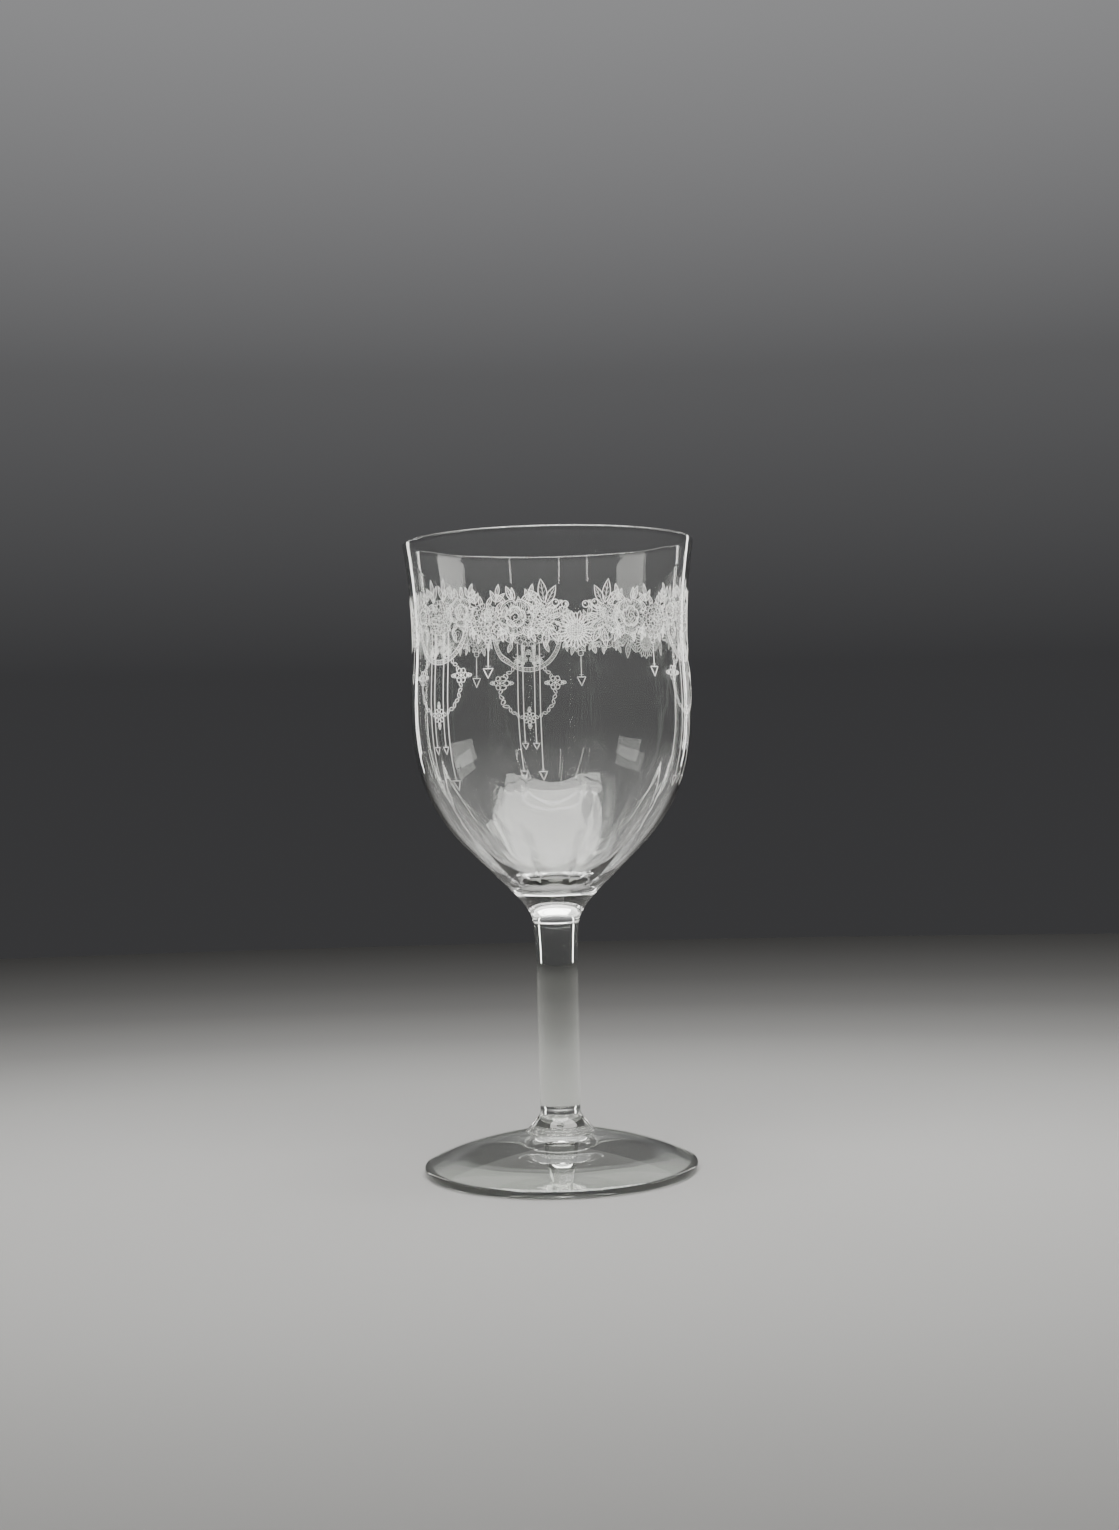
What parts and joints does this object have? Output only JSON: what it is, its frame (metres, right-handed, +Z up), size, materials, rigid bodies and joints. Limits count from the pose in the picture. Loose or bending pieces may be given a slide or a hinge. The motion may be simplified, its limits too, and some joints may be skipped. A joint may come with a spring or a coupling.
{
  "type": "wine glass",
  "caption": "Stemmed wine glass with a blown tulip bowl, a drawn solid stem, a ringed collar and a low domed foot, etched with a garland under the rim.",
  "frame": {"origin": "centre of the ring that the foot rests on, on the surface the glass stands on", "axes": "+Z up along the axis of the bowl, stem and foot; X and Y are free, since the glass is round"},
  "size_m": [0.0704, 0.0704, 0.152],
  "materials": {
    "clear_glass": "fire-polished clear glass, very slightly grey-green where it is thick"
  },
  "bodies": {
    "root": {"bowl": "clear_glass", "stem": "clear_glass", "stem_collar": "clear_glass", "foot": "clear_glass"}
  },
  "joints": []
}
